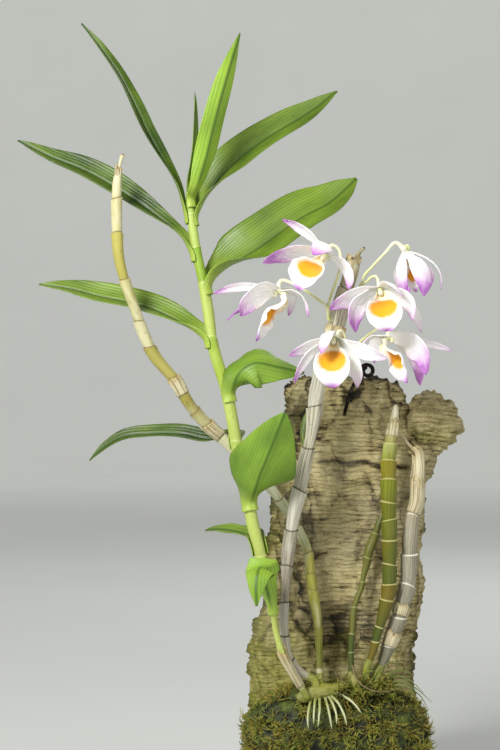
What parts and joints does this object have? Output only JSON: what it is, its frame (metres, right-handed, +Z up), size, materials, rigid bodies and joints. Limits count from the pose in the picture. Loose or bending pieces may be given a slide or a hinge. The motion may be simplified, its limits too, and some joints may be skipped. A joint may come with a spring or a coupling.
{
  "type": "dendrobium orchid",
  "caption": "Dendrobium orchid in flower on an upright slab of cork bark, with leafy and bare canes, moss round its foot and a wire hanger.",
  "frame": {"origin": "middle of the bark's sawn foot, on the surface that it stands on", "axes": "+Z up along the bark, -Y out of the flowered face, +X to the right of someone who looks at the flowers"},
  "size_m": [0.2647, 0.1277, 0.4509],
  "materials": {
    "cork_bark": "rough, cracked cork bark",
    "moss": "damp tufted moss",
    "dark_wire": "dark glossy wire",
    "rhizome": "waxy green and white roots",
    "papery_cane": "dry papery sheaths, ribbed lengthwise",
    "yellowing_cane": "yellowing cane with cream sheaths",
    "green_cane": "satin olive green skin",
    "leafy_cane": "satin pale green skin",
    "leaf": "satin leaf with fine lengthwise veins",
    "petal": "thin white petal with mauve tips",
    "lip": "velvety white lip with an orange-yellow middle"
  },
  "bodies": {
    "root": {"bare_cane": "yellowing_cane", "cork_bark": "cork_bark", "dry_cane": "papery_cane", "flower_front": "petal", "flower_hanging": "petal", "flower_left": "petal", "flower_lower_right": "petal", "flower_right": "petal", "flower_stalk_left": "leafy_cane", "flower_stalk_low": "leafy_cane", "flower_stalk_right": "leafy_cane", "flower_upper_left": "petal", "flowering_cane": "papery_cane", "green_cane": "green_cane", "hanger_wire": "dark_wire", "leaf_01_folded": "leaf", "leaf_02_low_left": "leaf", "leaf_03_broad": "leaf", "leaf_04_right": "leaf", "leaf_05_left": "leaf", "leaf_06_left": "leaf", "leaf_07_left": "leaf", "leaf_08_top_left": "leaf", "leaf_09_bud": "leaf", "leaf_10_top": "leaf", "leaf_11_right": "leaf", "leaf_12_right": "leaf", "leafy_cane": "leafy_cane", "lip_front": "lip", "lip_hanging": "lip", "lip_left": "lip", "lip_lower_right": "lip", "lip_right": "lip", "lip_upper_left": "lip", "moss_cushion": "moss", "rhizome_and_roots": "rhizome", "side_shoot": "green_cane", "thin_cane": "green_cane"}
  },
  "joints": []
}
